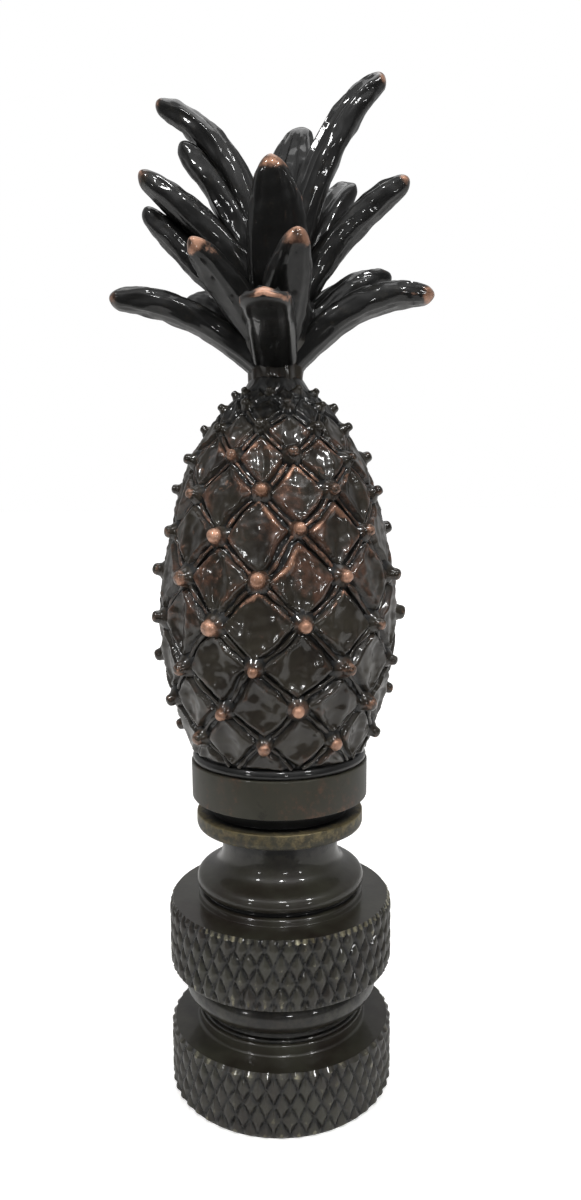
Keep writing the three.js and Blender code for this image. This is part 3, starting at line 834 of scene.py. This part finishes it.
def buildLeaf(leaf, seed):
    kind = crown["blunt"] if leaf["end"] > crown["bluntFrom"] else crown["slender"]
    root, bend, tipPlace = (
        np.array([leaf[k][0], bodyTop + leaf[k][1]], float) for k in ("spring", "bend", "tip")
    )
    length = np.linalg.norm(bend - root) + np.linalg.norm(tipPlace - bend)
    azimuth, roll = math.radians(leaf["azimuth"]), math.radians(leaf["roll"])
    side = np.array([math.cos(azimuth), math.sin(azimuth), 0])
    angles = circleOf(crown["sides"])
    cosine, sine = np.cos(angles), np.sin(angles)
    squared = np.where(sine < 0, kind["belly"], crown["back"])
    taper = crown["pointedTaper"] if leaf["end"] < crown["pointed"] else crown["taper"]
    sway = random.Random(seed).uniform(-crown["sway"], crown["sway"])
    acrossSize, alongSize = crown["wrinkleSize"]
    rings, finish = [], []
    for t in 1 - (1 - np.linspace(0, 1, crown["stations"])) ** 1.6:
        fromTip = (1 - t) * length
        # the middle of the section, and the leaf's direction there
        middle = (1 - t) ** 2 * root + 2 * t * (1 - t) * bend + t * t * tipPlace
        along = 2 * (1 - t) * (bend - root) + 2 * t * (tipPlace - bend)
        along /= np.linalg.norm(along)
        inner = polar(azimuth, -along[1], along[0])
        # its half width and thickness
        narrow = 1 - (1 - leaf["end"]) * t ** taper
        bulge = kind["base"] + (crown["middleWidth"] - kind["base"]) * math.sin(math.pi * t)
        half = leaf["width"] / 2 * bulge * narrow * capShare(fromTip, kind["capLength"])
        thick = crown["thickness"] * (1 - 0.3 * t ** 6) * min(1, 0.55 + 0.45 * leaf["end"] + 0.4 * (1 - t))
        thick *= capShare(fromTip, crown["tipLength"]) * (1 - kind["thinned"] * float(smoothstep(2.6, 0.4, fromTip)))
        # its outline, with the ribs, turned about the leaf's length
        rounded = squared + (1 - squared) * float(smoothstep(crown["roundedLength"], 0.1, fromTip))
        wide, deep = np.sign(cosine) * abs(cosine) ** rounded, np.sign(sine) * abs(sine) ** rounded
        fade = float(smoothstep(0.4, 1.8, fromTip))
        ribs = np.cos(wide * 2 * math.pi * crown["ribs"] + 0.8 * math.sin(5 * t + seed))
        lift = deep * np.where(sine > 0, 0.4, 0.6) * thick
        lift += crown["ribDepth"] * fade * ribs * sine * np.where(sine > 0, 1.0, 0.5)
        ring = polar(azimuth, middle[0], middle[1]) + sway * math.sin(math.pi * t) * side
        ring = ring + (half * wide)[:, None] * (math.cos(roll) * side + math.sin(roll) * inner)
        ring += lift[:, None] * (math.cos(roll) * inner - math.sin(roll) * side)
        # wrinkles and dents, drawn out along the leaf
        flat = np.stack([wide * half, deep * thick, np.full(len(angles), t * length)], -1)
        dents = lumps(flat / (acrossSize, acrossSize, alongSize), 1.0, seed) + 0.5 * lumps(ring, 0.7, seed + 1)
        outward = ring - ring.mean(0)
        outward /= np.linalg.norm(outward, axis=1)[:, None] + 1e-6
        # rubbed all round a slender tip, only on the small bead on top of a blunt one
        onTop = 1.0
        if kind["bead"]:
            beadHalf, beadRise = kind["bead"]
            onTop = np.exp(-(half * wide / beadHalf) ** 2) * (sine > -0.3)
            ring += beadRise * float(smoothstep(1.3, 0.5, fromTip)) * (onTop * (sine > 0))[:, None] * inner
        shallow = (0.35 + 0.65 * fade) * min(1, capShare(fromTip, crown["tipLength"]) * 1.2)
        ring += (kind["calm"] * crown["wrinkles"] * shallow * dents)[:, None] * outward
        rings.append(ring)
        tip = float(smoothstep(crown["rubbedLength"], 0.25 * crown["rubbedLength"], fromTip)) * leaf["rub"] * onTop
        edge = abs(cosine) ** 6 * float(smoothstep(7.0, 1.0, fromTip)) * leaf["rub"]
        finish.append(finishOf(
            len(angles), wear=tip * (0.68 + 0.6 * dents) + 0.3 * edge * (1 + dents),
            brown=1.2 * tip + 0.5 * edge + 0.3 * np.clip(dents, 0, 1), soot=0.75 * (1 - tip),
        ))
    return skinMesh(rings, finish)


# the stalk, and the core that the leaves spring from
def buildCore():
    core, high, stalk = crown["coreRadius"], crown["coreHeight"], pineapple["stalkRadius"]
    angles = circleOf(crown["coreSides"])
    outline = splinePoints([
        (1.75 * stalk, bodyTop - 2.6 * stalk), (1.2 * stalk, bodyTop - 0.9 * stalk), (stalk, bodyTop - 0.2 * stalk),
        (1.1 * stalk, bodyTop + 0.6 * stalk), (core, bodyTop + 0.3 * high), (core, bodyTop + 0.6 * high),
        (0.4 * core, bodyTop + high),
    ], 60)
    rings, finish = [], []
    for r, z in outline:
        ring = polar(angles, r + 0.08 * np.cos(9 * angles + 0.3 * z), z)
        rings.append(ring + (0.12 * lumps(ring, 1.1, 51))[:, None] * polar(angles, 1, 0))
        # painted shade: the core turns black where it sits inside the crown of leaves
        soot = float(smoothstep(bodyTop + 1.5, bodyTop + 3.0, z))
        finish.append(finishOf(len(angles), wear=0.1, brown=0.25, soot=soot, satin=0.3))
    return skinMesh(rings, finish)


# finishes

bronze = {
    # black is both the sooty patina and the painted shade in recesses and under overhangs
    "black": "#0b0b0a",
    "blackBrown": "#201b16",
    "oliveBlack": "#332f27",
    "brown": "#5a4033",
    "darkBrown": "#3a2a20",
    "copper": "#c99b82",
    "dullCopper": "#8f6a54",
    "brass": "#7a6f52",
    "dullBrass": "#4e4734",
    "paleBrass": "#9a9680",
    "satinGrey": "#37352c",
    "knurlGrey": "#302f27",
    "patchSize": 3.0,  # mm between the darker and lighter patches of the patina
    "speckleSize": 0.6,
    "grainSize": 0.3,  # mm between the casting's fine pits
    "patchEdge": (0.35, 0.65),
    "breakUp": 1.6,  # how far the speckle breaks up the edges of what is worn, brown or sooty
    "wearEdge": (0.3, 0.85),
    "brownEdge": (0.2, 0.9),
    "sootEdge": (0.15, 0.75),
    "gloss": 0.34,  # roughness of the patina under its lacquer
    "satin": 0.5,  # and where grime, rubbing, the knurling or the lathe left it dull
    "underLacquer": 0.3,  # the patina's own reflection, weakened by the lacquer on it
    "lacquerRoughness": 0.05,
    "bareMetallic": 0.65,  # rubbed metal still holds some patina in its scratches
}


# Oil-rubbed bronze: an oxide and wax patina, near black, rubbed through to brown and then to bare metal
# on what stands proud, under a thin clear lacquer. The eye sees dark gloss with sharp small highlights.
def bronzeMaterial(name, dark, darker, bare, barer, lacquer, pitDepth):
    b = bronze
    material, tree = newMaterial(name)
    place = addNode(tree, "ShaderNodeTexCoord").outputs["Object"]
    patches, speckle, pits = (
        addNode(tree, "ShaderNodeTexNoise", inputs={
            "Vector": place, "Scale": 1 / (b[size] * mm), "Detail": detail, "Roughness": rough,
        }).outputs["Fac"]
        for size, detail, rough in (("patchSize", 4.0, 0.6), ("speckleSize", 6.0, 0.7), ("grainSize", 3.0, 0.55))
    )

    # where a painted attribute shows, with the speckle breaking up its edge
    def broken(label, low, high):
        painted = addNode(tree, "ShaderNodeAttribute", {"attribute_name": label}).outputs["Fac"]
        lifted = addNode(tree, "ShaderNodeMath", {"operation": "MULTIPLY_ADD"}, {
            0: speckle, 1: b["breakUp"], 2: -b["breakUp"] / 2,
        })
        total = addNode(tree, "ShaderNodeMath", {"operation": "ADD"}, {0: painted, 1: lifted.outputs[0]})
        return addNode(tree, "ShaderNodeMapRange", {"interpolation_type": "SMOOTHSTEP"}, {
            "Value": total.outputs[0], "From Min": low, "From Max": high,
        }).outputs["Result"]

    # the patina, the brown under it and the metal under both, each in two tones
    tones = []
    for cloud, (low, high), deep, light in (
        (patches, b["patchEdge"], darker, dark), (speckle, (0.35, 0.62), "darkBrown", "brown"),
        (patches, (0.35, 0.6), barer, bare),
    ):
        ramp = addNode(tree, "ShaderNodeValToRGB", inputs={"Fac": cloud})
        setRamp(ramp, [(low, linear(b[deep])), (high, linear(b[light]))])
        tones.append(ramp.outputs["Color"])
    colour, rubbed, metal = tones
    # the blackening mask carries the sooty patina and the painted shade
    worn, blackening = broken("wear", *b["wearEdge"]), broken("soot", *b["sootEdge"])
    for share, over in ((broken("brown", *b["brownEdge"]), rubbed), (blackening, linear(b["black"])), (worn, metal)):
        colour = addNode(tree, "ShaderNodeMix", {"data_type": "RGBA"}, {
            "Factor": share, "A": colour, "B": over,
        }).outputs["Result"]

    # duller where it is satin, blackened by soot or by painted shade, or worn, and a little uneven all over
    dull = addNode(tree, "ShaderNodeAttribute", {"attribute_name": "satin"}).outputs["Fac"]
    uneven = addNode(tree, "ShaderNodeMath", {"operation": "MULTIPLY_ADD"}, {0: speckle, 1: 0.5, 2: -0.25})
    for more in (uneven.outputs[0], blackening, worn):
        dull = addNode(tree, "ShaderNodeMath", {"operation": "ADD"}, {0: dull, 1: more}).outputs[0]
    roughness = addNode(tree, "ShaderNodeMapRange", inputs={
        "Value": dull, "To Min": b["gloss"], "To Max": b["satin"],
    })
    metallic = addNode(tree, "ShaderNodeMath", {"operation": "MULTIPLY"}, {0: worn, 1: b["bareMetallic"]})
    bump = addNode(tree, "ShaderNodeBump", inputs={"Height": pits, "Strength": 0.5, "Distance": pitDepth * mm})
    shader = addNode(tree, "ShaderNodeBsdfPrincipled", inputs={
        "Base Color": colour, "Metallic": metallic.outputs[0], "Roughness": roughness.outputs["Result"],
        "Specular IOR Level": b["underLacquer"], "Coat Weight": lacquer, "Coat Roughness": b["lacquerRoughness"],
        "Normal": bump.outputs["Normal"], "Coat Normal": bump.outputs["Normal"],
    })
    tree.links.new(shader.outputs["BSDF"], addNode(tree, "ShaderNodeOutputMaterial").inputs["Surface"])
    return material


# cast and dipped: the thickest lacquer, over fine pits, so the wettest look
castBronze = bronzeMaterial(
    "castOilRubbedBronze", "oliveBlack", "blackBrown", "copper", "dullCopper", lacquer=0.55, pitDepth=0.015,
)
# turned and knurled brass with the same finish: thinner lacquer, pale brass where the rims are worn
knurledBronze = bronzeMaterial(
    "knurledOilRubbedBronze", "knurlGrey", "blackBrown", "paleBrass", "dullBrass", lacquer=0.45, pitDepth=0.01,
)
# turned brass that was brushed after the dip: hardly any lacquer left, so an even satin grey-brown
satinBronze = bronzeMaterial(
    "satinTurnedBronze", "satinGrey", "knurlGrey", "brass", "dullBrass", lacquer=0.1, pitDepth=0.01,
)
print("materials made")


def dress(piece, material, slot, *nodes):
    piece.data.materials.clear()
    piece.data.materials.append(material)
    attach(piece, "root")
    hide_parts(*nodes)


dress(buildAdapter(), knurledBronze, "knurled_bronze", "adapter")
dress(buildBaseNut(), knurledBronze, "dark_bronze", "base_nut")
dress(buildCollar(), satinBronze, "satin_bronze", "collar")
print("turned pieces made")

for pieceName, skins in (
    ("pineappleBody", [buildBody(), buildLip()]),
    ("pineappleNubs", buildNubs() + buildCords()),
    ("pineappleCrown", [buildLeaf(leaf, 100 + k) for k, leaf in enumerate(leaves)] + [buildCore()]),
):
    dress(addJoined(pieceName, skins, pineapple["sharpAngle"]), castBronze, "cast_bronze", "pineapple")
    print(pieceName, "made")


# floor, light and camera

studio = {
    "floorHalf": 3.0,  # metres
    "floorFront": -0.045,  # the white sheet ends here, and the darker room begins
    "floorLevel": -0.00001,  # just under the foot, so the two faces don't coincide
    "floorColour": "#f2f1ef",
    "nearGlow": 0.4,  # the sheet is lit up for the camera, brighter further away
    "farGlow": 0.95,
    "glowFrom": 0.06,  # metres from the axis
    "glowTo": 0.3,
    "paper": "#ffffff",
    "grey": "#b4b4b4",  # what the metal sees of the backdrop, which is lit less than it looks
    "roomDark": "#3c3c3e",
}


def buildFloor():
    half, front, z = studio["floorHalf"], studio["floorFront"], studio["floorLevel"]
    mesh = bpy.data.meshes.new("floor")
    mesh.from_pydata([(-half, front, z), (half, front, z), (half, half, z), (-half, half, z)], [], [(0, 1, 2, 3)])
    floor = addToScene("floor", mesh)
    material, tree = newMaterial("paleFloor")
    place = addNode(tree, "ShaderNodeTexCoord").outputs["Object"]
    distance = addNode(tree, "ShaderNodeVectorMath", {"operation": "LENGTH"}, {0: place}).outputs["Value"]
    glow = addNode(tree, "ShaderNodeMapRange", {"interpolation_type": "SMOOTHSTEP"}, {
        "Value": distance, "From Min": studio["glowFrom"], "From Max": studio["glowTo"],
        "To Min": studio["nearGlow"], "To Max": studio["farGlow"],
    }).outputs["Result"]
    seen = addNode(tree, "ShaderNodeMath", {"operation": "MULTIPLY"}, {
        0: glow, 1: addNode(tree, "ShaderNodeLightPath").outputs["Is Camera Ray"],
    })
    shader = addNode(tree, "ShaderNodeBsdfPrincipled", inputs={
        "Base Color": linear(studio["floorColour"]), "Roughness": 0.9,
        "Emission Color": linear(studio["paper"]), "Emission Strength": seen.outputs[0],
    })
    tree.links.new(shader.outputs["BSDF"], addNode(tree, "ShaderNodeOutputMaterial").inputs["Surface"])
    mesh.materials.append(material)


# white paper behind and at the sides, a darker room in front and overhead
def buildWorld():
    world = bpy.data.worlds.new("studio")
    bpy.context.scene.world = world
    world.use_nodes = True
    tree = world.node_tree
    tree.nodes.clear()
    direction = addNode(tree, "ShaderNodeTexCoord").outputs["Generated"]
    axes = addNode(tree, "ShaderNodeSeparateXYZ", inputs={"Vector": direction})
    back = addNode(tree, "ShaderNodeMapRange", {"interpolation_type": "SMOOTHSTEP"}, {
        "Value": axes.outputs["Y"], "From Min": -0.35, "From Max": 0.45,
    })
    overhead = addNode(tree, "ShaderNodeMapRange", {"interpolation_type": "SMOOTHSTEP"}, {
        "Value": axes.outputs["Z"], "From Min": 0.5, "From Max": 0.85, "To Min": 1.0, "To Max": 0.25,
    })
    light = addNode(tree, "ShaderNodeMath", {"operation": "MULTIPLY"}, {
        0: back.outputs["Result"], 1: overhead.outputs["Result"],
    })
    colour = addNode(tree, "ShaderNodeMix", {"data_type": "RGBA"}, {
        "Factor": light.outputs[0], "A": linear(studio["roomDark"]), "B": linear(studio["grey"]),
    })
    seen = addNode(tree, "ShaderNodeMix", {"data_type": "RGBA"}, {
        "Factor": addNode(tree, "ShaderNodeLightPath").outputs["Is Camera Ray"],
        "A": colour.outputs["Result"], "B": linear(studio["paper"]),
    })
    background = addNode(tree, "ShaderNodeBackground", inputs={"Color": seen.outputs["Result"]})
    tree.links.new(background.outputs["Background"], addNode(tree, "ShaderNodeOutputWorld").inputs["Surface"])


lights = {  # place and diameter in metres, power in watts
    "keyFront": ((0.02, -0.35, 0.42), 0.06, 0.95),
    "keyLeft": ((-0.28, -0.25, 0.40), 0.055, 0.8),
    "keyRight": ((0.25, -0.22, 0.38), 0.05, 0.65),
    "lowFront": ((0.08, -0.5, 0.09), 0.04, 0.22),
    "lowLeft": ((-0.32, -0.38, 0.09), 0.04, 0.18),
    "lowRight": ((0.32, -0.42, 0.09), 0.04, 0.18),
    "softTop": ((0.0, 0.15, 0.6), 0.5, 1.4),
}


# round lights, turned towards the middle of the finial
def buildLights():
    target = Vector((0, 0, 0.035))
    for name, (place, size, power) in lights.items():
        data = bpy.data.lights.new(name, "AREA")
        data.shape = "DISK"
        data.size = size
        data.energy = power
        light = addToScene(name, data)
        light.location = place
        light.rotation_euler = (target - Vector(place)).to_track_quat("-Z", "Y").to_euler()


camera = {
    "distance": 62.66,  # mm in front of the axis
    "height": 41.75,  # mm above the floor
    "pitch": 6.41,  # degrees down
    "yaw": 0.79,
    "roll": -0.37,
    "focal": 903.04,  # in pixels of the 581 x 1200 photograph
    "photoHeight": 1200,
    "sensor": 36.0,
}


def buildCamera():
    c = camera
    yaw, pitch, roll = (math.radians(c[k]) for k in ("yaw", "pitch", "roll"))
    forward = Vector((math.sin(yaw) * math.cos(pitch), math.cos(yaw) * math.cos(pitch), -math.sin(pitch)))
    right = Vector((math.cos(yaw), -math.sin(yaw), 0))
    up = right.cross(forward)
    across = math.cos(roll) * right + math.sin(roll) * up
    upright = -math.sin(roll) * right + math.cos(roll) * up
    data = bpy.data.cameras.new("camera")
    data.sensor_width = c["sensor"]
    data.sensor_fit = "AUTO"
    data.lens = c["sensor"] * c["focal"] / c["photoHeight"]
    data.clip_start = 0.001
    made = addToScene("camera", data)
    turn = Matrix((across, upright, -forward)).transposed()
    made.matrix_world = Matrix.Translation(Vector((0, -c["distance"], c["height"])) * mm) @ turn.to_4x4()
    bpy.context.scene.camera = made


buildFloor()
buildWorld()
buildLights()
buildCamera()
bpy.context.scene.view_settings.view_transform = "Standard"
print("floor, light and camera set")
